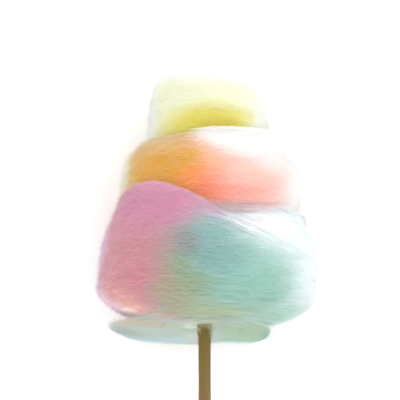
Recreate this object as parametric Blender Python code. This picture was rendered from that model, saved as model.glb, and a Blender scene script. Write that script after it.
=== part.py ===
"""A three-tier cotton candy wound on a round wooden stick, lying on its back.

The candy is described in a frame of its own: +Y runs up the stick from the level where the
stick enters the floss, +Z points out of the side that is shown, and +X is that side's right.
The empty "lying" tips this frame nose-down, until the backs of the two lower tiers rest on
the plane Z = 0, and a shallow cut at that plane gives both tiers the small flat they lie on.

Pieces: the stick, the thin base sheet, and the bottom, middle and top tiers of floss.
Angles round the stick start at +X and pass the shown side at 90 degrees.
"""

import math
from dataclasses import dataclass

import bmesh
import bpy
from mathutils import Matrix

# The stick, a plain dowel.
STICK_DIAMETER = 0.0095
STICK_LENGTH = 0.305
STICK_INSIDE = 0.128
STICK_SIDES = 24
STICK_END_BEVEL = 0.0006

# How the candy lies.
LYING_TIP = math.radians(12.2)
LYING_HEIGHT = 0.0908
FLOOR_CUT_SIZE = 1.0

# Pieces that touch keep this gap, and a cutter is larger than its piece by it.
GAP = 0.0003

# The floss is wound in slanting bands, which stand out as low ridges.
BAND_HEIGHT = 0.0009
BANDS_PER_TIER = 5


@dataclass(frozen=True)
class Tier:
    """One wad of floss: a rounded cushion, wider than high, with its own irregularities.

    centre is where its widest ring lies. A power of 2 gives an elliptical profile and a
    higher one a boxier profile. Each lobe is (how many round the tier, share of the radius,
    angle of a crest), and each ripple is (how many round, height at the rim, angle of a
    crest). The others are (angle, half-width, share): bulges add to the radius, humps to the
    rise, and sags to the drop, less and less towards the stick. Angles are in degrees.
    """

    name: str
    centre: tuple
    radius: float
    rise: float
    drop: float
    power_up: float
    power_down: float
    segments: int
    rings: int
    colour: tuple
    slant: float = 0.0
    bands: float = BAND_HEIGHT
    tip: tuple = (0.0, 0.0, 0.0)
    ripples: tuple = ()
    lobes: tuple = ()
    bulges: tuple = ()
    humps: tuple = ()
    sags: tuple = ()


TIERS = (
    Tier(
        name="floss_bottom",
        centre=(0.0022, 0.034, 0.0),
        radius=0.0870,
        rise=0.066,
        drop=0.0335,
        power_up=2.55,
        power_down=2.5,
        segments=56,
        rings=26,
        colour=(0.62, 0.80, 0.73, 1.0),
        lobes=((2, 0.010, 10), (3, 0.012, 200), (5, 0.008, 150)),
        humps=((124, 50, 0.52), (160, 40, 0.22), (74, 42, -0.19), (0, 60, 0.18), (195, 40, 0.06)),
        sags=((-12, 52, 0.24),),
    ),
    Tier(
        name="floss_middle",
        centre=(0.0055, 0.108, 0.0),
        radius=0.0722,
        rise=0.0515,
        drop=0.031,
        power_up=2.4,
        power_down=3.2,
        segments=48,
        rings=22,
        colour=(0.98, 0.66, 0.50, 1.0),
        lobes=((2, 0.010, 0), (3, 0.010, 60), (4, 0.008, 20)),
        humps=((125, 45, -0.10), (90, 40, -0.06)),
        sags=((-5, 50, 0.36),),
    ),
    Tier(
        name="floss_top",
        centre=(0.0036, 0.148, 0.0),
        radius=0.0505,
        rise=0.0555,
        drop=0.018,
        power_up=3.5,
        power_down=2.4,
        slant=0.16,
        segments=44,
        rings=20,
        colour=(0.95, 0.93, 0.62, 1.0),
        lobes=((2, 0.008, 90), (3, 0.012, 150)),
    ),
)

BASE_SHEET = Tier(
    name="floss_base",
    centre=(-0.0125, 0.0012, 0.0),
    radius=0.0605,
    rise=0.0024,
    drop=0.0024,
    power_up=2.0,
    power_down=2.0,
    bands=0.0,
    tip=(math.radians(-9.5), 0.0, math.radians(-0.8)),
    segments=60,
    rings=8,
    colour=(0.74, 0.82, 0.80, 1.0),
    lobes=((6, 0.010, 20), (9, 0.008, 200)),
    bulges=((-172, 26, 0.06), (140, 48, -0.40), (35, 40, -0.22), (-30, 45, 0.17), (-140, 40, 0.04)),
    ripples=((3, 0.0010, 40), (7, 0.0006, 250)),
)
STICK_COLOUR = (0.53, 0.42, 0.22, 1.0)


def bump(angle, middle, half_width):
    """A smooth hump round the circle: 1 at its middle, 0 from half_width away. In degrees."""
    apart = abs((angle - middle + 180.0) % 360.0 - 180.0)
    if apart >= half_width:
        return 0.0
    return 0.5 + 0.5 * math.cos(math.pi * apart / half_width)


def swell(angle, bumps):
    """The sum of several smooth humps round the circle."""
    return sum(share * bump(angle, middle, half_width) for middle, half_width, share in bumps)


def tier_point(tier, around, up, grow):
    """A point of the tier's skin in its own frame.

    around is the angle round the stick, and up runs from -90 degrees at the underside's
    middle through 0 at the widest ring to 90 at the top. grow enlarges the skin.
    """
    degrees = math.degrees(around)
    spread = 1.0 + swell(degrees, tier.bulges)
    spread += sum(share * math.cos(n * math.radians(degrees - crest)) for n, share, crest in tier.lobes)
    if up > 0:
        height, power = tier.rise, tier.power_up
        height *= 1.0 + swell(degrees, tier.humps)
    else:
        height, power = tier.drop, tier.power_down
        height *= 1.0 + swell(degrees, tier.sags) * math.cos(up)
    out = abs(math.cos(up)) ** (2.0 / power)
    along = math.copysign(abs(math.sin(up)) ** (2.0 / power), up)
    bands = tier.bands * math.cos(up) * math.sin(2.0 * BANDS_PER_TIER * up + around)
    radius = (tier.radius * spread + bands + grow) * out
    x = radius * math.cos(around)
    y = (height + grow) * along - tier.slant * x * max(along, 0.0)
    y += out * out * sum(h * math.cos(n * math.radians(degrees - crest)) for n, h, crest in tier.ripples)
    return x, y, radius * math.sin(around)


def tier_object(tier, grow=0.0):
    """The tier's closed skin, as a ball whose points are moved onto the tier's form."""
    bm = bmesh.new()
    bmesh.ops.create_uvsphere(bm, u_segments=tier.segments, v_segments=tier.rings, radius=1.0)
    for vert in bm.verts:
        around = math.atan2(-vert.co.y, vert.co.x)
        up = math.asin(max(-1.0, min(1.0, vert.co.z)))
        vert.co = tier_point(tier, around, up, grow)
    obj = new_object(bm, tier.name, tier.colour, roughness=0.95)
    obj.location = tier.centre
    obj.rotation_euler = tier.tip
    return obj


def stick_object(grow=0.0):
    """The dowel along the candy's axis, with softly broken ends."""
    bm = bmesh.new()
    lengthways = Matrix.Rotation(math.radians(-90), 4, "X")
    bmesh.ops.create_cone(
        bm,
        cap_ends=True,
        segments=STICK_SIDES,
        radius1=STICK_DIAMETER / 2 + grow,
        radius2=STICK_DIAMETER / 2 + grow,
        depth=STICK_LENGTH + 2 * grow,
        matrix=lengthways,
    )
    rims = [edge for edge in bm.edges if any(len(face.verts) > 4 for face in edge.link_faces)]
    bmesh.ops.bevel(bm, geom=rims, offset=STICK_END_BEVEL, segments=2, affect="EDGES", profile=0.5)
    obj = new_object(bm, "stick", STICK_COLOUR, roughness=0.7)
    obj.location = (0.0, STICK_INSIDE - STICK_LENGTH / 2, 0.0)
    return obj


def new_object(bm, name, colour, roughness):
    """Turns a bmesh into a smooth-shaded object with a material of its own."""
    mesh = bpy.data.meshes.new(name)
    bm.to_mesh(mesh)
    bm.free()
    mesh.shade_smooth()
    mesh.set_sharp_from_angle(angle=math.radians(40))
    material = bpy.data.materials.new(name)
    material.use_nodes = True
    shader = material.node_tree.nodes["Principled BSDF"]
    shader.inputs["Base Color"].default_value = colour
    shader.inputs["Roughness"].default_value = roughness
    shader.inputs["Metallic"].default_value = 0.0
    mesh.materials.append(material)
    obj = bpy.data.objects.new(name, mesh)
    bpy.context.scene.collection.objects.link(obj)
    return obj


def as_cutter(obj):
    """Marks an object as a tool that only cuts others."""
    obj.name = "cut_" + obj.name.split(".")[0]
    obj.hide_render = True
    obj.display_type = "WIRE"
    return obj


def floor_cutter():
    """A block that fills the space under the plane Z = 0."""
    bm = bmesh.new()
    bmesh.ops.create_cube(bm, size=FLOOR_CUT_SIZE)
    block = new_object(bm, "floor", STICK_COLOUR, roughness=1.0)
    block.location.z = -FLOOR_CUT_SIZE / 2
    return as_cutter(block)


def cut(obj, *cutters):
    """Takes each cutter's space out of the object."""
    for cutter in cutters:
        boolean = obj.modifiers.new("less_" + cutter.name, "BOOLEAN")
        boolean.operation = "DIFFERENCE"
        boolean.solver = "EXACT"
        boolean.object = cutter


def centre_on_origin(holder, pieces):
    """Slides the holder along the floor until the pieces' bounding box is centred on X and Y."""
    bpy.context.view_layer.update()
    graph = bpy.context.evaluated_depsgraph_get()
    points = []
    for piece in pieces:
        solid = piece.evaluated_get(graph)
        points.extend(solid.matrix_world @ vert.co for vert in solid.data.vertices)
    for axis in (0, 1):
        values = [point[axis] for point in points]
        holder.location[axis] -= (min(values) + max(values)) / 2


def main():
    for obj in list(bpy.data.objects):
        bpy.data.objects.remove(obj, do_unlink=True)

    lying = bpy.data.objects.new("lying", None)
    bpy.context.scene.collection.objects.link(lying)
    lying.location.z = LYING_HEIGHT
    lying.rotation_euler.x = -LYING_TIP

    stick = stick_object()
    base = tier_object(BASE_SHEET)
    bottom, middle, top = [tier_object(tier) for tier in TIERS]

    stick_room = as_cutter(stick_object(GAP))
    base_room = as_cutter(tier_object(BASE_SHEET, GAP))
    middle_room = as_cutter(tier_object(TIERS[1], GAP))
    top_room = as_cutter(tier_object(TIERS[2], GAP))
    pieces = (stick, base, bottom, middle, top)
    for obj in pieces + (stick_room, base_room, middle_room, top_room):
        obj.parent = lying

    floor = floor_cutter()
    cut(base, stick_room)
    cut(bottom, base_room, middle_room, stick_room, floor)
    cut(middle, top_room, stick_room, floor)
    centre_on_origin(lying, pieces)


main()
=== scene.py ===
"""The looks of a three-tier cotton candy on a wooden stick, lying on its back.

Each tier of floss is a core with soft relief under thousands of fine sugar fibres, wound
round it as the spun sugar was. Their places are read from the frame's solids. A tier is
mapped like a globe: u runs once round the stick, from the back through the right (0.25),
the front (0.5) and the left (0.75), and v runs from the lower pole (0) to the upper (1).
On the thin base sheet, v runs from the underside's middle over the rim (0.5) to the upper
side's middle. The floss's colours are soft patches on that map, so cores and fibres share
them. Lengths are in metres, and angles in degrees where they are given as plain numbers.
"""

import math
from dataclasses import dataclass, replace

import bpy
import numpy as np
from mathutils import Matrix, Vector
from mathutils.bvhtree import BVHTree


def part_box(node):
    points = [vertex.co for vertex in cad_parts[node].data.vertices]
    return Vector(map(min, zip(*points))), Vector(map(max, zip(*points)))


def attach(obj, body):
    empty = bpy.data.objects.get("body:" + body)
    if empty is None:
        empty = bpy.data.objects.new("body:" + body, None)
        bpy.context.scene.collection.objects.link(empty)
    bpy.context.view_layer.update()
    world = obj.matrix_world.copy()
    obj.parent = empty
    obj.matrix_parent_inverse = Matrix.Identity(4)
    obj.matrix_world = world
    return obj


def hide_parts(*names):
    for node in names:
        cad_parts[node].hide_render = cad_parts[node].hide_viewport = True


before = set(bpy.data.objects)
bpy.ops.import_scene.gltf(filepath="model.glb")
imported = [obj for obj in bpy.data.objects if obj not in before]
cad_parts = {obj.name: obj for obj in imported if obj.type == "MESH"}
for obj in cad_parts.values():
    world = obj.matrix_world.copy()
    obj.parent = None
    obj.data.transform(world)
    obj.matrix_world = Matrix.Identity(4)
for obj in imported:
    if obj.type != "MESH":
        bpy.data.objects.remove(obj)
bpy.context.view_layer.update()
random = np.random.default_rng(20)

MAP = "OFBake"
FLOOR_CLEARANCE = 0.0003

# How finely a tier's form is read from its solid, from how far out, and how often the
# solid's facets are smoothed. The way that the skin faces is read this far off the poles.
READ_AROUND = 240
READ_UP = 180
READ_DISTANCE = 0.3
SMOOTHING_PASSES = 2
FACING_MARGIN = 0.01

# Where two tiers meet, each swells by a fillet, less and less away from the other. The small
# one keeps the middle tier's upper edge low.
FILLET = 0.0050
SMALL_FILLET = 0.0004
FILLET_WIDTH = 0.0080

# Where the stick enters, the floss is drawn in by the dimple, which fades away from the stick.
DIMPLE = 0.0072
DIMPLE_WIDTH = 0.0110

# A fibre isn't made where its tier is this deep inside another.
COVERED = 0.004

# The radius to which the sheet's fibres curl round the stick, the share of them on its
# underside, the part of the sheet near the stick that gives its thickness, and how far from
# its plane and with how many rays its rim is looked for.
SHEET_CURL = 0.045
UNDERSIDE_SHARE = 0.65
SHEET_INNER = 0.030
RIM_SEARCH = 0.005
RIM_RAYS = 41

# How much the way that fibres face differs from one to the next, how much of its squared
# width is left at a fibre's tips, and how far its two edges are apart on the map. Fibres and
# their colours stay this far inside the map's borders.
FACING_SPREAD = 0.10
FIBRE_TIP = 0.02
FIBRE_MAP_WIDTH = 0.003
FIBRE_MARGIN = 0.002
COLOUR_MARGIN = 0.001

# The narrowest ring that a fibre follows near a pole, and the most that it turns to each side.
LEAST_RING = 0.006
LONGEST_TURN = 0.22

# The share of its bend that a fibre has, how many radians of a wave it bends through to each
# side of its middle, and how far and how much quicker it rises and falls on the way.
BEND_SHARE = (0.3, 1.0)
BEND_PACE = (1.5, 4.0)
UNDULATION = 0.0003
UNDULATION_PACE = 2.3

# Where on the map the fibres of a tier's shoulder begin to face outward, and how soon they do.
LEAN_FROM = 0.50
LEAN_RISE = 0.10


# ---------------------------------------------------------------------------
# The frame's directions
# ---------------------------------------------------------------------------


def solid_points(node):
    """The corners of a CAD node's solid."""
    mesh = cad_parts[node].data
    points = np.empty(len(mesh.vertices) * 3)
    mesh.vertices.foreach_get("co", points)
    return points.reshape(-1, 3)


def stick_ends():
    """The middles of the stick's free end and of its end inside the floss."""
    points = solid_points("stick")
    middle = (points.min(axis=0) + points.max(axis=0)) / 2
    along = np.linalg.svd(points - middle, full_matrices=False)[2][0]
    along *= np.sign(along[1])
    reach = (points - middle) @ along
    return middle + along * reach.min(), middle + along * reach.max()


FREE_END, INNER_END = stick_ends()
STICK_LENGTH = np.linalg.norm(INNER_END - FREE_END)
AXIS = (INNER_END - FREE_END) / STICK_LENGTH
RIGHT = np.array((1.0, 0.0, 0.0))
FRONT = np.cross(RIGHT, AXIS)
STICK_RADIUS = (solid_points("stick")[:, 0].max() - solid_points("stick")[:, 0].min()) / 2


def outward(u):
    """The direction square to the stick at u."""
    angle = 2 * math.pi * (np.asarray(u) - 0.25)
    return np.cos(angle)[..., None] * RIGHT + np.sin(angle)[..., None] * FRONT


def direction(u, v):
    """The direction from a tier's middle to the place (u, v) on its map."""
    up = math.pi * (np.asarray(v) - 0.5)
    return np.cos(up)[..., None] * outward(u) + np.sin(up)[..., None] * AXIS


# ---------------------------------------------------------------------------
# A tier's form
# ---------------------------------------------------------------------------


def waves(u, v, count, turns, climbs, seed):
    """A smooth random field from -1 to 1 on the map, made of waves that close round the tier."""
    pick = np.random.default_rng(seed)
    total = 0.0
    for _ in range(count):
        around = pick.integers(-turns, turns + 1)
        up = pick.uniform(-climbs, climbs)
        total = total + np.sin(2 * math.pi * (around * u + up * v) + pick.uniform(0, 2 * math.pi))
    return total / math.sqrt(2 * count)


def lookup(table, u, v):
    """Values between those of a table whose rows run up the map and columns round it."""
    across = (u % 1.0) * READ_AROUND
    up = np.clip(v, 0, 1) * (READ_UP - 1)
    left = np.floor(across).astype(int) % READ_AROUND
    below = np.minimum(np.floor(up).astype(int), READ_UP - 2)
    right = (left + 1) % READ_AROUND
    s = across - np.floor(across)
    t = up - below
    if table.ndim == 3:
        s, t = s[..., None], t[..., None]
    lower = table[below, left] * (1 - s) + table[below, right] * s
    upper = table[below + 1, left] * (1 - s) + table[below + 1, right] * s
    return lower * (1 - t) + upper * t


def unit(vectors):
    """Vectors at length 1."""
    return vectors / np.maximum(np.linalg.norm(vectors, axis=-1, keepdims=True), 1e-9)


def dimple(points):
    """How far the floss is drawn in along the stick at each point, on the stick's front."""
    apart = points - FREE_END
    from_axis = np.linalg.norm(apart - (apart @ AXIS)[..., None] * AXIS, axis=-1)
    in_front = np.clip(0.5 + (apart @ FRONT) / STICK_RADIUS, 0, 1)
    return (DIMPLE * in_front * np.exp(-((from_axis / DIMPLE_WIDTH) ** 2)))[..., None] * AXIS


def smoothed_round(values):
    """Values smoothed a little along their last axis, which closes on itself."""
    return (np.roll(values, 1, axis=-1) + 2 * values + np.roll(values, -1, axis=-1)) / 4


class Form:
    """The outside of a tier: how far it is from its middle, over the whole map."""

    def __init__(self, node, lumps, ridges, seed, on_stick=False):
        low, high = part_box(node)
        self.middle = (np.array(low) + np.array(high)) / 2
        self.lumps = lumps
        self.ridges = ridges
        self.seed = seed
        self.on_stick = on_stick
        self.neighbours = []
        self.reach = self.read(node)

    def read(self, node):
        """The reach of the solid's skin, by rays towards the middle."""
        tree = BVHTree.FromObject(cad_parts[node], bpy.context.evaluated_depsgraph_get())
        u = np.arange(READ_AROUND) / READ_AROUND
        v = np.linspace(0, 1, READ_UP)
        rays = direction(*np.meshgrid(u, v))
        reach = np.empty(rays.shape[:2])
        for row, column in np.ndindex(reach.shape):
            ray = Vector(rays[row, column])
            start = Vector(self.middle) + ray * READ_DISTANCE
            reach[row, column] = READ_DISTANCE - tree.ray_cast(start, -ray)[3]
        for _ in range(SMOOTHING_PASSES):
            reach = smoothed_round(reach)
            rows = np.pad(reach, ((1, 1), (0, 0)), mode="edge")
            reach = (rows[:-2] + 2 * reach + rows[2:]) / 4
        reach[0] = reach[0].mean()
        reach[-1] = reach[-1].mean()
        return reach

    def meet(self, neighbours):
        """Takes the tiers that this one touches, each with its fillet, and notes the skin's facing."""
        self.neighbours = neighbours
        rows = np.linspace(FACING_MARGIN, 1 - FACING_MARGIN, READ_UP)
        u, v = np.meshgrid(np.arange(READ_AROUND) / READ_AROUND, rows)
        points = self.place(u, v)
        around = np.roll(points, -1, axis=1) - np.roll(points, 1, axis=1)
        self.facing = unit(np.cross(np.gradient(points, axis=0), around))

    def radius(self, u, v):
        """The distance from the middle to the skin, with the wound floss's relief."""
        fade = np.sin(math.pi * np.clip(v, 0, 1))
        relief = self.lumps * waves(u, v, count=14, turns=5, climbs=4, seed=self.seed)
        relief = relief + self.ridges * waves(u, v, count=14, turns=3, climbs=26, seed=self.seed + 1)
        return lookup(self.reach, u, v) + relief * fade

    def place(self, u, v, out=0.0):
        """The point of the skin at (u, v), or out above it, and never under the floor."""
        rays = direction(u, v)
        points = self.middle + rays * (self.radius(u, v) + out)[..., None]
        for other, fillet in self.neighbours:
            near = np.exp(-np.maximum(other.gap(points), 0) / FILLET_WIDTH)
            points = points + rays * (fillet * near)[..., None]
        if self.on_stick:
            points = points + dimple(points) * (v < 0.5)[..., None]
        points[..., 2] = np.maximum(points[..., 2], FLOOR_CLEARANCE)
        return points

    def gap(self, points):
        """How far each point is outside the skin; less than 0 is inside."""
        apart = points - self.middle
        far = np.linalg.norm(apart, axis=-1)
        high = np.clip((apart @ AXIS) / np.maximum(far, 1e-9), -1, 1)
        angle = np.arctan2(apart @ FRONT, apart @ RIGHT)
        u, v = (angle / (2 * math.pi) + 0.25) % 1.0, np.arcsin(high) / math.pi + 0.5
        return far - self.radius(u, v)


class Sheet(Form):
    """A thin sheet of floss: an outline in its own plane, a rippled rim, and a small thickness."""

    def __init__(self, node, ripples, seed):
        points = solid_points(node)
        apart = points - points.mean(axis=0)
        self.normal = np.linalg.svd(apart, full_matrices=False)[2][2]
        self.normal *= np.sign(self.normal @ AXIS)
        inner = np.linalg.norm(apart, axis=1) < SHEET_INNER
        self.thickness = np.ptp(apart[inner] @ self.normal)
        self.ripples = ripples
        super().__init__(node, lumps=0.0, ridges=0.0, seed=seed)

    def in_plane(self, u):
        """The direction from the middle to the rim at u."""
        flat = outward(u)
        return unit(flat - (flat @ self.normal)[..., None] * self.normal)

    def read(self, node):
        """The outline, by rays along the sheet's plane, and how far above it the rim is."""
        tree = BVHTree.FromObject(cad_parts[node], bpy.context.evaluated_depsgraph_get())
        lifts = np.linspace(-RIM_SEARCH, RIM_SEARCH, RIM_RAYS)
        reach = np.zeros((READ_AROUND, RIM_RAYS))
        for column, ray in enumerate(self.in_plane(np.arange(READ_AROUND) / READ_AROUND)):
            for level, lift in enumerate(lifts):
                start = Vector(self.middle + ray * READ_DISTANCE + self.normal * lift)
                far = tree.ray_cast(start, Vector(-ray))[3]
                reach[column, level] = 0.0 if far is None else READ_DISTANCE - far
        rim = lifts[reach.argmax(axis=1)]
        for _ in range(SMOOTHING_PASSES):
            rim = smoothed_round(rim)
        self.rim = np.tile(rim, (READ_UP, 1))
        return np.tile(reach.max(axis=1), (READ_UP, 1))

    def spot(self, u, share, side, out=0.0):
        """The point at a share of the way out to the rim, on the lower (-1) or upper (1) side."""
        rise = side * self.thickness / 2 * np.sqrt(np.maximum(1 - share**2, 0)) + out
        ripple = self.ripples * waves(u, share, count=10, turns=7, climbs=1.5, seed=self.seed + 3)
        rise = rise + (lookup(self.rim, u, share) + ripple) * share**2
        flat = self.in_plane(u) * (self.radius(u, share) * share)[..., None]
        points = self.middle + flat + self.normal * rise[..., None]
        points = points + dimple(points)
        points[..., 2] = np.maximum(points[..., 2], FLOOR_CLEARANCE)
        return points

    def place(self, u, v, out=0.0):
        """The point of the sheet's skin at (u, v), or out above it."""
        share = np.sin(math.pi * v) * (1 + out / self.radius(u, v))
        return self.spot(u, share, -np.cos(math.pi * v) * (1 + 2 * out / self.thickness))


FORMS = {
    "floss_bottom": Form("floss_bottom", lumps=0.0012, ridges=0.0004, seed=3, on_stick=True),
    "floss_middle": Form("floss_middle", lumps=0.0012, ridges=0.0004, seed=5),
    "floss_top": Form("floss_top", lumps=0.0010, ridges=0.0004, seed=8),
    "floss_base": Sheet("floss_base", ripples=0.0004, seed=13),
}
FORMS["floss_bottom"].meet([(FORMS["floss_middle"], FILLET)])
FORMS["floss_middle"].meet([(FORMS["floss_bottom"], FILLET), (FORMS["floss_top"], SMALL_FILLET)])
FORMS["floss_top"].meet([(FORMS["floss_middle"], FILLET)])
FORMS["floss_base"].meet([])


# ---------------------------------------------------------------------------
# Meshes
# ---------------------------------------------------------------------------


def mesh_object(name, points, quads, corner_map, facing, material):
    """A smooth mesh from arrays: its points, four corners a face, and a map place a corner.

    facing gives each point the way it faces, or is None where its faces say it.
    """
    mesh = bpy.data.meshes.new(name)
    mesh.vertices.add(len(points))
    mesh.vertices.foreach_set("co", np.ascontiguousarray(points, dtype=np.float32).ravel())
    mesh.loops.add(quads.size)
    mesh.loops.foreach_set("vertex_index", quads.astype(np.int32).ravel())
    mesh.polygons.add(len(quads))
    mesh.polygons.foreach_set("loop_start", np.arange(0, quads.size, 4, dtype=np.int32))
    layer = mesh.uv_layers.new(name=MAP)
    layer.data.foreach_set("uv", corner_map.astype(np.float32).ravel())
    mesh.update(calc_edges=True)
    mesh.shade_smooth()
    if facing is not None:
        mesh.normals_split_custom_set_from_vertices(facing.tolist())
    mesh.materials.append(material)
    piece = bpy.data.objects.new(name, mesh)
    bpy.context.scene.collection.objects.link(piece)
    return piece


def tube_faces(rows, columns):
    """The faces of a tube of points, stored ring by ring from its lower end, and their map."""
    row, column = np.meshgrid(np.arange(rows - 1), np.arange(columns), indexing="ij")
    row, column = row.ravel(), column.ravel()
    after = (column + 1) % columns
    low, high = row * columns, (row + 1) * columns
    quads = np.stack([low + column, high + column, high + after, low + after], axis=1)
    left, right = column / columns, (column + 1) / columns
    lower, upper = row / (rows - 1), (row + 1) / (rows - 1)
    corner_map = np.stack([left, lower, left, upper, right, upper, right, lower], axis=1)
    return quads, corner_map.reshape(-1, 4, 2)


def end_faces(rows, columns):
    """The faces that close both ends of such a tube, in strips, and their map."""
    strip = np.arange(columns // 2 - 1)
    lower = np.stack([strip, strip + 1, columns - 2 - strip, columns - 1 - strip], axis=1)
    upper = lower[:, ::-1] + (rows - 1) * columns
    quads = np.concatenate([lower, upper])
    end = np.repeat((0.0, 1.0), len(strip))[:, None]
    return quads, np.stack([quads % columns / columns, np.broadcast_to(end, quads.shape)], axis=2)


def closed_tube(rows, columns):
    """The faces and map of a tube with both its ends."""
    return [np.concatenate(both) for both in zip(tube_faces(rows, columns), end_faces(rows, columns))]


def core_object(name, form, material, rings, inset):
    """A tier's closed core, a little under the fibres."""
    u = np.arange(CORE_SIDES) / CORE_SIDES
    u, v = np.meshgrid(u, np.linspace(CORE_MARGIN, 1 - CORE_MARGIN, rings))
    points = form.place(u, v, -inset).reshape(-1, 3)
    return mesh_object(name, points, *closed_tube(rings, CORE_SIDES), None, material)


# ---------------------------------------------------------------------------
# Fibres
# ---------------------------------------------------------------------------


def ribbons(paths, facing, widths, roll, places):
    """Flat fibres along paths, tapered to both ends and rolled about their own length.

    paths and facing are (fibre, step, 3), widths and roll one a fibre, and places
    (fibre, step, 2) on the map. They are shaded the way that they face, as a whole, so that
    fine fibres don't glitter. Returns what mesh_object takes, apart from the material.
    """
    fibres, steps = paths.shape[:2]
    along = unit(np.gradient(paths, axis=1))
    side = unit(np.cross(along, facing))
    lift = np.cross(side, along)
    across = np.cos(roll)[:, None, None] * side + np.sin(roll)[:, None, None] * lift
    taper = np.sqrt(np.maximum(1 - np.linspace(-1, 1, steps) ** 2, FIBRE_TIP))
    half = across * (widths[:, None] * taper)[..., None] / 2
    points = np.stack([paths - half, paths + half], axis=2)
    points[..., 2] = np.maximum(points[..., 2], FLOOR_CLEARANCE)
    first = np.arange(fibres)[:, None] * steps + np.arange(steps - 1)
    quads = np.stack([2 * first, 2 * first + 1, 2 * first + 3, 2 * first + 2], axis=2).reshape(-1, 4)
    edge = np.array((0.0, FIBRE_MAP_WIDTH))
    both = np.stack([places - edge, places + edge], axis=2)
    both = np.clip(both, COLOUR_MARGIN, 1 - COLOUR_MARGIN).reshape(-1, 2)
    turned = unit(facing + random.normal(0, FACING_SPREAD, (fibres, 1, 3)))
    return points.reshape(-1, 3), quads, both[quads], np.repeat(turned, 2, axis=1).reshape(-1, 3)


def seeds(form, count, others, weigh=None):
    """Random places on the skin, even by area, leaving out what other tiers cover.

    weigh gives the places of some regions more of the fibres, or none.
    """
    rows, columns = 120, 240
    u, v = np.meshgrid(np.arange(columns + 1) / columns, np.linspace(0, 1, rows + 1))
    corner = form.place(u, v)
    wide = corner[:-1, 1:] - corner[:-1, :-1]
    tall = corner[1:, :-1] - corner[:-1, :-1]
    area = np.linalg.norm(np.cross(wide, tall), axis=2)
    centre = (corner[:-1, :-1] + corner[1:, 1:]) / 2
    for other in others:
        area[other.gap(centre) < -COVERED] = 0.0
    if weigh is not None:
        area *= weigh(u[:-1, :-1], v[:-1, :-1])
    cell = random.choice(area.size, count, p=area.ravel() / area.sum())
    row, column = np.unravel_index(cell, area.shape)
    return (column + random.random(count)) / columns, (row + random.random(count)) / rows


@dataclass(frozen=True)
class Fibres:
    """How one kind of fibre lies round a tier.

    length and width are (least, most). They climb at the slant, in degrees, as they run to
    the right along the front; it swirls from place to place by swirl, and differs by spread.
    They start at depth, under the skin, and rise above that by fluff on average, in tufts as
    clump says, and up to reach at most. Their ends stand off by up to wander more, and they
    bend sideways by up to wave. roll is the spread of their turn about their length, and
    jitter that of their colour's place on the map. lean turns those on the shoulder outward.
    """

    steps: int
    length: tuple
    width: tuple
    depth: float
    fluff: float
    reach: float
    slant: float = 0.0
    swirl: float = 12.0
    spread: float = 12.0
    wander: float = 0.0
    roll: float = 3.0
    jitter: float = 0.010
    wave: float = 0.0016
    clump: float = 0.0
    lean: float = 0.0


def lay(kind, form, others, count, weigh=None):
    """Fibres of one kind on a tier."""
    u0, v0 = seeds(form, count, others, weigh)
    t = np.linspace(-1, 1, kind.steps)[None, :]
    reach = form.radius(u0, v0)
    from_axis = np.maximum(reach * np.sin(math.pi * v0), LEAST_RING)
    half = random.uniform(*kind.length, count) / 2
    swirl = kind.swirl * waves(u0, v0, count=12, turns=3, climbs=3, seed=form.seed + 2)
    angle = np.radians(kind.slant + swirl + random.normal(0, kind.spread, count))
    turn = np.minimum(half * np.cos(angle) / (2 * math.pi * from_axis), LONGEST_TURN)
    climb = -half * np.sin(angle) / (math.pi * reach)
    wave = random.uniform(*BEND_SHARE, count) * kind.wave / (math.pi * reach)
    phase = random.uniform(0, 2 * math.pi, count)
    pace = random.uniform(*BEND_PACE, count)
    u = u0[:, None] + turn[:, None] * t
    v = v0[:, None] + climb[:, None] * t
    v = v + wave[:, None] * np.sin(pace[:, None] * t + phase[:, None])
    v = np.clip(v, FIBRE_MARGIN, 1 - FIBRE_MARGIN)
    tufts = 1 + kind.clump * waves(u0, v0, count=16, turns=24, climbs=30, seed=form.seed + 7)
    height = np.clip(random.exponential(kind.fluff, count) * tufts, 0, kind.reach) - kind.depth
    start, end = random.uniform(0, 1, (2, count, 1)) ** 2 * kind.wander
    out = height[:, None] + start * np.maximum(-t, 0) ** 2 + end * np.maximum(t, 0) ** 2
    out = out + UNDULATION * np.sin(UNDULATION_PACE * pace[:, None] * t + 2 * phase[:, None])
    paths = form.place(u, v, out)
    places = np.stack([u, v], axis=2) + random.normal(0, kind.jitter, (count, 1, 2))
    widths = random.uniform(*kind.width, count)
    turned = np.radians(random.normal(0, kind.roll, count))
    lean = kind.lean * np.clip((v - LEAN_FROM) / LEAN_RISE, 0, 1)
    facing = unit(lookup(form.facing, u, v) + lean[..., None] * outward(u))
    return ribbons(paths, facing, widths, turned, places)


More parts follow.
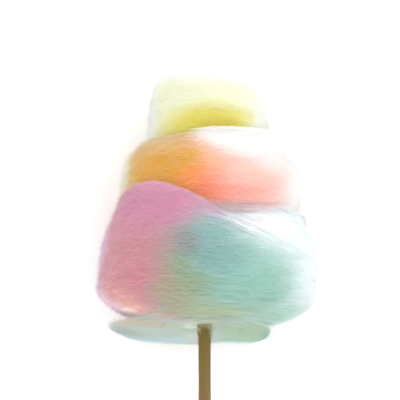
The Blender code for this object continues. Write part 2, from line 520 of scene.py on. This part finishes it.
def lay_on_sheet(kind, sheet, count):
    """Fibres drawn out along a sheet's rim, so nearly straight that some end beyond it."""
    u0 = random.random(count)
    share = np.sqrt(random.random(count))
    side = random.choice((-1.0, 1.0), count, p=(UNDERSIDE_SHARE, 1 - UNDERSIDE_SHARE))
    centre = sheet.spot(u0, share, side)
    rim = sheet.in_plane(u0)
    angle = np.radians(random.normal(0, kind.spread, count))[:, None]
    heading = np.cos(angle) * np.cross(sheet.normal, rim) + np.sin(angle) * rim
    t = np.linspace(-1, 1, kind.steps)[None, :, None]
    gone = random.uniform(*kind.length, count)[:, None, None] / 2 * t
    bend = random.uniform(*BEND_SHARE, count)[:, None, None] * gone**2 / (2 * SHEET_CURL)
    height = np.minimum(random.exponential(kind.fluff, count), kind.reach) - kind.depth
    ends = random.uniform(-1, 1, count) * kind.wander
    rise = (side * height)[:, None, None] + ends[:, None, None] * t**2
    paths = centre[:, None] + heading[:, None] * gone - rim[:, None] * bend + sheet.normal * rise
    apart = paths - sheet.middle
    flat = apart - (apart @ sheet.normal)[..., None] * sheet.normal
    u = (np.arctan2(flat @ FRONT, flat @ RIGHT) / (2 * math.pi) + 0.25) % 1.0
    u = u0[:, None] + (u - u0[:, None] + 0.5) % 1.0 - 0.5
    out = np.clip(np.linalg.norm(flat, axis=2) / sheet.radius(u, np.full_like(u, 0.5)), 0, 1)
    v = np.arcsin(out) / math.pi
    v = np.where(side[:, None] < 0, v, 1 - v)
    places = np.stack([u, v], axis=2) + random.normal(0, kind.jitter, (count, 1, 2))
    facing = np.broadcast_to((side[:, None] * sheet.normal)[:, None], paths.shape)
    widths = random.uniform(*kind.width, count)
    turned = np.radians(random.normal(0, kind.roll, count))
    return ribbons(paths, facing, widths, turned, places)


# ---------------------------------------------------------------------------
# Materials
# ---------------------------------------------------------------------------


def srgb(code):
    """A linear colour from a hexadecimal one."""
    values = [int(code[i : i + 2], 16) / 255 for i in (0, 2, 4)]
    linear = [v / 12.92 if v <= 0.04045 else ((v + 0.055) / 1.055) ** 2.4 for v in values]
    return (*linear, 1.0)


class Nodes:
    """Short names for making a material's nodes."""

    def __init__(self, name):
        self.material = bpy.data.materials.new(name)
        self.material.use_nodes = True
        self.tree = self.material.node_tree
        self.shader = self.tree.nodes["Principled BSDF"]

    def add(self, kind, **settings):
        node = self.tree.nodes.new(kind)
        for key, value in settings.items():
            setattr(node, key, value)
        return node

    def put(self, value, socket):
        """Links a value that comes from a node, or sets a plain one."""
        if isinstance(value, bpy.types.NodeSocket):
            self.tree.links.new(value, socket)
        else:
            socket.default_value = value

    def math(self, operation, *values):
        node = self.add("ShaderNodeMath", operation=operation)
        for value, socket in zip(values, node.inputs):
            self.put(value, socket)
        return node.outputs[0]

    def mix(self, share, first, second, blend="MIX"):
        node = self.add("ShaderNodeMix", data_type="RGBA", blend_type=blend)
        self.put(share, node.inputs["Factor"])
        self.put(first, node.inputs["A"])
        self.put(second, node.inputs["B"])
        return node.outputs["Result"]

    def ramp(self, value, low, high, to_low=0.0, to_high=1.0, smooth=True):
        kind = "SMOOTHSTEP" if smooth else "LINEAR"
        node = self.add("ShaderNodeMapRange", interpolation_type=kind)
        for value_in, socket in zip((value, low, high, to_low, to_high), node.inputs):
            self.put(value_in, socket)
        return node.outputs[0]

    def vector(self, x, y, z):
        node = self.add("ShaderNodeCombineXYZ")
        for value, socket in zip((x, y, z), node.inputs):
            self.put(value, socket)
        return node.outputs[0]

    def noise(self, where, scale, detail, roughness=0.55):
        node = self.add("ShaderNodeTexNoise")
        self.put(where, node.inputs["Vector"])
        node.inputs["Scale"].default_value = scale
        node.inputs["Detail"].default_value = detail
        node.inputs["Roughness"].default_value = roughness
        return node.outputs["Fac"]

    def map_place(self):
        """The place on the piece's own map, as u and v."""
        node = self.add("ShaderNodeUVMap", uv_map=MAP)
        split = self.add("ShaderNodeSeparateXYZ")
        self.tree.links.new(node.outputs[0], split.inputs[0])
        return split.outputs[0], split.outputs[1]

    def round_piece(self, u, v):
        """A function of a stretch along v, giving places for noise that close round the piece."""
        angle = self.math("MULTIPLY", u, 2 * math.pi)
        x, y = self.math("COSINE", angle), self.math("SINE", angle)

        def place(stretch):
            return self.vector(x, y, self.math("MULTIPLY", v, stretch))

        return place

    def bump(self, height, strength, distance):
        """Gives the shader relief."""
        node = self.add("ShaderNodeBump")
        node.inputs["Strength"].default_value = strength
        node.inputs["Distance"].default_value = distance
        self.put(height, node.inputs["Height"])
        self.put(node.outputs[0], self.shader.inputs["Normal"])


# How far noise shifts the patches of colour on the map.
PATCH_DRIFT = 0.10
WHITE = (1.0, 1.0, 1.0, 1.0)


def floss_material(name, ground, patches, frost=0.0, depth=0.0):
    """Spun sugar: soft patches of colour, drawn out along the winding.

    A patch is (u, v, half-width, half-height, full, colour), painted over those before it:
    it is full out to that share of its size, and fades from there to its edge. frost is how
    far the colour goes to white, and depth how far light travels under the surface.
    """
    nodes = Nodes(name)
    u, v = nodes.map_place()
    place = nodes.round_piece(u, v)
    streaks = nodes.noise(place(30.0), scale=2.2, detail=5.0)
    threads = nodes.noise(place(120.0), scale=3.0, detail=4.0)
    clouds = nodes.noise(place(4.0), scale=1.6, detail=3.0)
    drift_u = nodes.math("MULTIPLY", nodes.math("SUBTRACT", clouds, 0.5), PATCH_DRIFT)
    drift_v = nodes.math("MULTIPLY", nodes.math("SUBTRACT", streaks, 0.5), PATCH_DRIFT)
    shifted_u = nodes.math("ADD", u, drift_u)
    shifted_v = nodes.math("ADD", v, drift_v)
    colour = srgb(ground)
    for at_u, at_v, wide, tall, full, code in patches:
        apart_u = nodes.math("PINGPONG", nodes.math("SUBTRACT", shifted_u, at_u - 1.0), 0.5)
        across = nodes.math("POWER", nodes.math("DIVIDE", apart_u, wide), 2.0)
        apart_v = nodes.math("DIVIDE", nodes.math("SUBTRACT", shifted_v, at_v), tall)
        upward = nodes.math("MULTIPLY", apart_v, apart_v)
        far = nodes.math("SQRT", nodes.math("ADD", across, upward))
        colour = nodes.mix(nodes.ramp(far, full, 1.0, 1.0, 0.0), colour, srgb(code))
    tone = nodes.ramp(threads, 0.3, 0.7, 0.97, 1.02, smooth=False)
    colour = nodes.mix(1.0, colour, nodes.vector(tone, tone, tone), blend="MULTIPLY")
    colour = nodes.mix(frost, colour, WHITE)
    nodes.put(colour, nodes.shader.inputs["Base Color"])
    nodes.put(nodes.ramp(streaks, 0.3, 0.7, 0.6, 0.85), nodes.shader.inputs["Roughness"])
    nodes.bump(threads, strength=0.3, distance=0.0006)
    nodes.shader.inputs["Specular IOR Level"].default_value = 0.2
    nodes.shader.inputs["Sheen Weight"].default_value = 0.5
    nodes.shader.inputs["Sheen Roughness"].default_value = 0.5
    if depth:
        nodes.shader.inputs["Subsurface Weight"].default_value = 0.5
        nodes.shader.inputs["Subsurface Radius"].default_value = (1.0, 0.8, 0.7)
        nodes.shader.inputs["Subsurface Scale"].default_value = depth
    return nodes.material


def wood_material():
    """A plain dowel: straight grain in olive-brown, more olive towards the floss."""
    nodes = Nodes("stick")
    u, v = nodes.map_place()
    place = nodes.round_piece(u, v)
    grain = nodes.noise(place(4.0), scale=5.0, detail=6.0, roughness=0.6)
    pores = nodes.noise(place(14.0), scale=16.0, detail=3.0)
    tint = nodes.noise(place(3.0), scale=1.0, detail=2.0)
    colour = nodes.mix(nodes.ramp(grain, 0.35, 0.65), srgb("6b4f2a"), srgb("80683a"))
    colour = nodes.mix(nodes.ramp(tint, 0.4, 0.65, 0.0, 0.6), colour, srgb("764e30"))
    colour = nodes.mix(nodes.ramp(v, 0.36, 0.50, 0.0, 0.9), colour, srgb("6e5b16"))
    colour = nodes.mix(nodes.ramp(pores, 0.62, 0.72, 0.0, 0.5), colour, srgb("46331a"))
    nodes.put(colour, nodes.shader.inputs["Base Color"])
    nodes.put(nodes.ramp(grain, 0.3, 0.7, 0.55, 0.75), nodes.shader.inputs["Roughness"])
    nodes.bump(grain, strength=0.4, distance=0.0003)
    return nodes.material


# Each tier's ground colour, and its patches as floss_material takes them. Some patches are partly
# painted light or shade, as noted above them.
BOTTOM_COLOURS = (
    "9acabc",  # mint
    (
        (0.86, 0.50, 0.22, 0.70, 0.30, "deb2c0"),  # the back, between pink and mint
        (0.42, 0.20, 0.16, 0.13, 0.20, "a6ceb2"),
        (0.56, 0.37, 0.09, 0.20, 0.30, "a0b290"),  # sage
        (0.51, 0.19, 0.15, 0.15, 0.30, "aabd92"),
        (0.49, 0.49, 0.08, 0.14, 0.30, "8cbab6"),  # teal
        (0.55, 0.50, 0.05, 0.07, 0.20, "969f9e"),
        (0.70, 0.50, 0.15, 0.70, 0.60, "d68f9d"),  # pink
        (0.68, 0.27, 0.08, 0.18, 0.30, "e6ada0"),
        (0.57, 0.29, 0.05, 0.13, 0.35, "adaf8e"),
        (0.60, 0.24, 0.045, 0.07, 0.30, "b9b092"),
        (0.59, 0.63, 0.11, 0.12, 0.45, "d690ae"),  # the flap
        (0.58, 0.72, 0.12, 0.07, 0.30, "e6a6c6"),
        (0.50, 0.60, 0.05, 0.05, 0.20, "b9b9cd"),
        # Pale along the left rim and its lower end: partly the thin floss's own paleness, partly
        # painted rim light and painted light against the shade of the underside.
        (0.76, 0.48, 0.08, 0.60, 0.30, "dbbcd5"),
        (0.76, 0.30, 0.08, 0.14, 0.30, "f4d2e2"),
        (0.71, 0.27, 0.04, 0.06, 0.30, "fcc8bc"),
        # Pale to white on the upper right: partly the floss's own paleness, partly painted light from
        # the upper right.
        (0.41, 0.70, 0.13, 0.22, 0.25, "e6f1f5"),  # white
        (0.36, 0.60, 0.13, 0.22, 0.25, "f2f8fa"),
        (0.445, 0.61, 0.05, 0.09, 0.30, "b9cfda"),
        # Near white down the right side: partly the floss's own paleness, partly painted light from
        # the right.
        (0.27, 0.46, 0.11, 0.90, 0.30, "eef5f7"),
        (0.29, 0.26, 0.09, 0.13, 0.30, "a8d5c4"),
        (0.495, 0.635, 0.04, 0.05, 0.30, "d6a9c0"),  # the flap's slope
        # Very pale low on the pink side, just above the sheet: painted light that lifts the shade
        # where the tier meets the sheet.
        (0.72, 0.30, 0.05, 0.03, 0.40, "feeee8"),  # under the pink side
    ),
)
MIDDLE_COLOURS = (
    "fbd8cf",  # peach
    (
        (0.86, 0.50, 0.22, 0.70, 0.30, "f1cda6"),  # the back, between amber and peach
        # Near white down the right side: partly the floss's own paleness, partly painted light from
        # the right.
        (0.29, 0.50, 0.09, 0.90, 0.20, "fbf8f7"),
        # Deeper coral low on the front: partly the floss's own colour, partly painted shade on the
        # tier's lower side.
        (0.46, 0.38, 0.14, 0.18, 0.10, "feb09e"),  # coral
        (0.47, 0.35, 0.09, 0.06, 0.20, "feaaa2"),
        (0.51, 0.51, 0.07, 0.07, 0.25, "fcc09a"),
        (0.61, 0.48, 0.11, 0.22, 0.55, "eab027"),  # amber
        (0.52, 0.41, 0.06, 0.11, 0.20, "fe9a70"),
        (0.55, 0.45, 0.04, 0.08, 0.20, "fba04a"),
        (0.67, 0.52, 0.05, 0.12, 0.30, "e5bf4e"),
        (0.61, 0.64, 0.12, 0.11, 0.30, "e4c080"),
        # Pale along the left rim: partly the thin floss's own paleness, partly painted rim light.
        (0.71, 0.50, 0.05, 0.50, 0.30, "f0f0e0"),
        # Paler along the lower edge, above the bottom tier: painted light that offsets the shade in
        # the crevice between the tiers.
        (0.43, 0.345, 0.10, 0.055, 0.35, "fedad5"),
        (0.43, 0.47, 0.06, 0.06, 0.20, "fad1c2"),
        # Pale to white on the upper right and along the top: partly the floss's own paleness, partly
        # painted light from the upper right.
        (0.38, 0.58, 0.09, 0.14, 0.30, "faf0ee"),
        (0.44, 0.72, 0.14, 0.19, 0.70, "fefbf8"),  # white
    ),
)
TOP_COLOURS = (
    "f7f9de",  # cream
    (
        # The saturated yellow low on the front is partly the sugar's own colour and partly painted
        # shade under the dome's overhang, deepest in its middle.
        (0.50, 0.37, 0.185, 0.18, 0.40, "ebe152"),  # yellow
        (0.48, 0.38, 0.08, 0.06, 0.30, "e2d032"),
        # Near white over the top and down both sides: partly the sugar's own paleness, partly painted
        # light on the lit top and the glowing rims.
        (0.50, 0.82, 0.80, 0.24, 0.40, "fbfcfd"),
        (0.30, 0.50, 0.10, 0.50, 0.30, "f8fbf4"),
        (0.72, 0.50, 0.09, 0.50, 0.30, "fbfcf8"),
    ),
)
BASE_COLOURS = (
    "c9dacf",
    (
        (0.72, 0.24, 0.08, 0.24, 0.40, "d0c9b5"),  # under the pink side, beige, then grey-blue
        (0.70, 0.46, 0.05, 0.10, 0.30, "e2c8ba"),
        (0.81, 0.36, 0.06, 0.16, 0.30, "b2c3bd"),
        (0.88, 0.42, 0.07, 0.20, 0.30, "c3d8da"),
        (0.94, 0.25, 0.09, 0.14, 0.30, "c9dfe2"),
        (0.22, 0.28, 0.16, 0.24, 0.30, "b5d1b5"),  # under the mint side, green
        (0.12, 0.30, 0.06, 0.14, 0.30, "abcfba"),
        (0.18, 0.45, 0.06, 0.14, 0.30, "94c0a6"),
        (0.34, 0.12, 0.05, 0.10, 0.30, "d2d6a8"),
        (0.02, 0.20, 0.05, 0.15, 0.30, "dfe4da"),
        (0.50, 0.00, 0.60, 0.10, 0.30, "c9d5bd"),
    ),
)
MIST_COLOURS = ("ecd0d4", ())


# ---------------------------------------------------------------------------
# Pieces
# ---------------------------------------------------------------------------


def place_piece(piece, node):
    """Hangs a piece on the frame in place of a CAD node."""
    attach(piece, "root")
    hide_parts(node)


# The kinds of fibre: the close winding, the fluff over it, short wisps in tufts, pale streaks
# down a shoulder, a faint mist, and the sheet's own.
WOUND = Fibres(
    steps=7,
    length=(0.025, 0.075),
    width=(0.00010, 0.00026),
    depth=0.0022,
    fluff=0.0007,
    reach=0.0020,
    lean=0.9,
)
LOOSE = Fibres(
    steps=5,
    length=(0.010, 0.036),
    width=(0.00007, 0.00015),
    depth=0.0014,
    fluff=0.0009,
    reach=0.0050,
    spread=32.0,
    wander=0.0030,
    roll=4.0,
    jitter=0.014,
    lean=1.2,
)
WISPS = Fibres(
    steps=6,
    length=(0.006, 0.020),
    width=(0.00010, 0.00022),
    depth=0.0008,
    fluff=0.0014,
    reach=0.0036,
    slant=-16.0,
    swirl=25.0,
    spread=18.0,
    wander=0.0030,
    roll=12.0,
    jitter=0.010,
    clump=0.9,
    lean=2.0,
)
STREAKS = Fibres(
    steps=6,
    length=(0.014, 0.036),
    width=(0.00012, 0.00026),
    depth=0.0006,
    fluff=0.0012,
    reach=0.0045,
    slant=-26.0,
    swirl=14.0,
    spread=7.0,
    wander=0.0012,
    roll=8.0,
    jitter=0.006,
    clump=0.9,
    lean=0.3,
)
MIST = replace(WISPS, fluff=0.0022, reach=0.0055, clump=0.5)
SHEET_FIBRES = Fibres(
    steps=6,
    length=(0.012, 0.050),
    width=(0.00008, 0.00018),
    depth=0.0002,
    fluff=0.0003,
    reach=0.0012,
    spread=9.0,
    wander=0.0006,
    roll=4.0,
)

# The cores: how many sides and rings they have, how far off the poles their end rings are on
# the map, and how deep they lie under the skin.
CORE_SIDES = 180
CORE_RINGS = 90
SHEET_RINGS = 40
CORE_MARGIN = 0.004
CORE_DEPTH = 0.0020
SHEET_INSET = 0.0003

# The stick: its sides, the rings between its ends and those of an end's rounding, the
# rounding's radius, the share by which the stick is uneven, and where its edges are sharp.
STICK_SIDES = 48
STICK_RINGS = 150
ROUNDING_RINGS = 4
STICK_ROUNDING = 0.0008
STICK_UNEVENNESS = 0.012
STICK_SHARP_ANGLE = 40.0

# The sugar film on the stick: where it starts, as a share of the stick's length, how far down
# it runs at the sides and in front, and how far it stands off at its start and at most at its
# end, with the share of that which is usual and the share that is lost in front. Its threads
# have so many steps, run a share of the way, are this wide, and differ by so much in their
# drift round the stick and in their roll.
FILM_START = 0.594
FILM_LENGTH = 0.022
COLLAR_LENGTH = 0.0045
FILM_GAP = 0.0002
FILM_FLARE = 0.0016
FILM_USUAL_FLARE = 0.4
FILM_FRONT_LOSS = 0.5
FILM_STEPS = 5
FILM_SHARE = (0.2, 1.0)
FILM_WIDTH = (0.00010, 0.00024)
FILM_DRIFT = 0.04
FILM_ROLL = 35.0


def in_region(at_u, at_v, wide, tall):
    """A weight for fibres: 1 at (at_u, at_v), falling to 0 at that half-width and half-height."""

    def weigh(u, v):
        apart_u = (u - at_u + 0.5) % 1.0 - 0.5
        return np.maximum(1 - (apart_u / wide) ** 2 - ((v - at_v) / tall) ** 2, 0)

    return weigh


def others_than(node):
    """The tiers that may cover a part of this one."""
    return [other for name, other in FORMS.items() if name not in (node, "floss_base")]


def make_tier(node, colours, wound, loose):
    """A tier's core and its fibres: those wound close, and a loose fluff over them."""
    form = FORMS[node]
    core_look = floss_material(node + "_core", *colours, depth=0.006)
    wound_look = floss_material(node, *colours)
    loose_look = floss_material(node + "_fluff", *colours, frost=0.15)
    pieces = (
        core_object(node + "_core", form, core_look, CORE_RINGS, CORE_DEPTH),
        mesh_object(node + "_fibres", *lay(WOUND, form, others_than(node), wound), wound_look),
        mesh_object(node + "_fluff", *lay(LOOSE, form, others_than(node), loose), loose_look),
    )
    for piece in pieces:
        place_piece(piece, node)


def make_drift(node, called, kind, colours, frost, count, region):
    """Pale, loose fibres over part of a tier."""
    name = node + "_" + called
    look = floss_material(name, *colours, frost=frost)
    fibres = lay(kind, FORMS[node], others_than(node), count, in_region(*region))
    place_piece(mesh_object(name, *fibres, look), node)


def make_sheet(node, colours, count):
    """The thin base sheet: a core with a rippled rim, under fibres drawn out along it."""
    form = FORMS[node]
    look = floss_material(node, *colours)
    place_piece(core_object(node + "_core", form, look, SHEET_RINGS, SHEET_INSET), node)
    place_piece(mesh_object(node + "_fibres", *lay_on_sheet(SHEET_FIBRES, form, count), look), node)


def film_material():
    """Melted sugar: pale yellow, browned in small spots."""
    nodes = Nodes("sugar_film")
    u, v = nodes.map_place()
    place = nodes.vector(u, nodes.math("MULTIPLY", v, 0.6), 0.0)
    spots = nodes.noise(place, scale=11.0, detail=2.0)
    colour = nodes.mix(nodes.ramp(spots, 0.34, 0.46), srgb("80603a"), srgb("d6cd98"))
    nodes.put(colour, nodes.shader.inputs["Base Color"])
    nodes.put(nodes.ramp(spots, 0.3, 0.7, 0.5, 0.7), nodes.shader.inputs["Roughness"])
    nodes.shader.inputs["Sheen Weight"].default_value = 0.3
    return nodes.material


def make_film(count):
    """Sugar on the stick under the floss: a short ragged collar, with threads down its sides."""
    u = random.random(count)[:, None]
    in_front = np.clip(np.cos(2 * math.pi * (u - 0.5)), 0, 1) ** 2
    longest = FILM_LENGTH + (COLLAR_LENGTH - FILM_LENGTH) * in_front
    t = np.linspace(0, 1, FILM_STEPS)[None, :]
    gone = longest * random.uniform(*FILM_SHARE, (count, 1)) * t
    flare = random.exponential(FILM_USUAL_FLARE, (count, 1)).clip(0, 1) * FILM_FLARE
    out = STICK_RADIUS + FILM_GAP + flare * t * (1 - FILM_FRONT_LOSS * in_front)
    u = u + random.normal(0, FILM_DRIFT, (count, 1)) * t
    along = STICK_LENGTH * FILM_START - gone
    paths = FREE_END + AXIS * along[..., None] + outward(u) * out[..., None]
    widths = random.uniform(*FILM_WIDTH, count)
    turned = np.radians(random.normal(0, FILM_ROLL, count))
    places = np.stack([u, gone / FILM_LENGTH], axis=2)
    fibres = ribbons(paths, outward(u), widths, turned, places)
    place_piece(mesh_object("stick_film", *fibres, film_material()), "stick")


def make_stick():
    """The dowel, a touch uneven along its length, with rounded ends."""
    end = np.linspace(0, STICK_ROUNDING, ROUNDING_RINGS, endpoint=False) / STICK_LENGTH
    between = np.linspace(end[-1], 1 - end[-1], STICK_RINGS)[1:-1]
    v = np.concatenate([end, between, 1 - end[::-1]])
    u, v = np.meshgrid(np.arange(STICK_SIDES) / STICK_SIDES, v)
    short = np.maximum(STICK_ROUNDING - np.minimum(v, 1 - v) * STICK_LENGTH, 0)
    shrink = STICK_ROUNDING - np.sqrt(np.maximum(STICK_ROUNDING**2 - short**2, 0))
    uneven = STICK_UNEVENNESS * waves(u, v, count=8, turns=2, climbs=9, seed=11)
    radius = STICK_RADIUS * (1 + uneven) - shrink
    points = FREE_END + AXIS * (v * STICK_LENGTH)[..., None] + outward(u) * radius[..., None]
    faces = closed_tube(*u.shape)
    piece = mesh_object("stick_wood", points.reshape(-1, 3), *faces, None, wood_material())
    piece.data.set_sharp_from_angle(angle=math.radians(STICK_SHARP_ANGLE))
    place_piece(piece, "stick")


# The drifts of each tier: what they are called, their kind, colours, frost and number of
# fibres, and their region on the map as in_region takes it.
DRIFTS = (
    ("floss_middle", "wisps", WISPS, MIDDLE_COLOURS, 0.85, 2600, (0.44, 0.73, 0.14, 0.09)),
    ("floss_bottom", "wisps", WISPS, BOTTOM_COLOURS, 0.85, 1600, (0.385, 0.69, 0.115, 0.06)),
    ("floss_bottom", "mist", MIST, MIST_COLOURS, 0.1, 700, (0.41, 0.66, 0.075, 0.04)),
    ("floss_bottom", "streaks", STREAKS, BOTTOM_COLOURS, 0.85, 260, (0.41, 0.57, 0.06, 0.06)),
)

make_tier("floss_bottom", BOTTOM_COLOURS, wound=11000, loose=15000)
make_tier("floss_middle", MIDDLE_COLOURS, wound=8000, loose=11000)
make_tier("floss_top", TOP_COLOURS, wound=5500, loose=8000)
for drift in DRIFTS:
    make_drift(*drift)
make_sheet("floss_base", BASE_COLOURS, count=9000)
make_film(count=500)
make_stick()


# ---------------------------------------------------------------------------
# Floor, light and camera
# ---------------------------------------------------------------------------

FLOOR_SIZE = 6.0

# The light of the room, and the lamps' size and what they point at.
ROOM_LIGHT = 1.26
LAMP_SIZE = 1.6
LAMP_AIM = (0.0, 0.05, 0.06)

# How high the camera is over the middle tier's middle and how far beside it, and how wide a
# stretch it sees at that distance.
VIEW_DISTANCE = 1.0
VIEW_OFFSET = (-0.0083, -0.0126)
VIEW_WIDTH = 0.320


def make_floor():
    """A plain pale floor, faintly speckled."""
    mesh = bpy.data.meshes.new("floor")
    half = FLOOR_SIZE / 2
    corners = [(-half, -half, 0), (half, -half, 0), (half, half, 0), (-half, half, 0)]
    mesh.from_pydata(corners, [], [(0, 1, 2, 3)])
    floor = bpy.data.objects.new("floor", mesh)
    bpy.context.scene.collection.objects.link(floor)
    nodes = Nodes("floor")
    place = nodes.add("ShaderNodeTexCoord").outputs["Object"]
    speckle = nodes.noise(place, scale=60.0, detail=4.0)
    nodes.put(nodes.mix(speckle, srgb("f8f8f7"), srgb("fafaf9")), nodes.shader.inputs["Base Color"])
    nodes.shader.inputs["Roughness"].default_value = 0.9
    mesh.materials.append(nodes.material)


def area_light(name, power, position):
    """A large soft lamp that points at the candy."""
    light = bpy.data.lights.new(name, "AREA")
    light.size = LAMP_SIZE
    light.energy = power
    lamp = bpy.data.objects.new(name, light)
    lamp.location = position
    towards = Vector(LAMP_AIM) - Vector(position)
    lamp.rotation_euler = towards.to_track_quat("-Z", "Y").to_euler()
    bpy.context.scene.collection.objects.link(lamp)


def make_light():
    """A white room, with a lamp from the upper right and a weaker one from the lower left."""
    world = bpy.data.worlds.new("studio")
    world.use_nodes = True
    background = world.node_tree.nodes["Background"]
    background.inputs["Color"].default_value = WHITE
    background.inputs["Strength"].default_value = ROOM_LIGHT
    bpy.context.scene.world = world
    area_light("key", power=6.5, position=(0.8, 0.7, 0.9))
    area_light("fill", power=4.0, position=(-0.8, -1.1, 0.45))


def make_camera():
    """Straight down onto the shown side, near the middle of the middle tier."""
    camera = bpy.data.cameras.new("camera")
    camera.lens = camera.sensor_width * VIEW_DISTANCE / VIEW_WIDTH
    view = bpy.data.objects.new("camera", camera)
    x, y, z = FORMS["floss_middle"].middle
    view.location = (x + VIEW_OFFSET[0], y + VIEW_OFFSET[1], z + VIEW_DISTANCE)
    bpy.context.scene.collection.objects.link(view)
    bpy.context.scene.camera = view


make_floor()
make_light()
make_camera()
bpy.context.scene.view_settings.view_transform = "Standard"
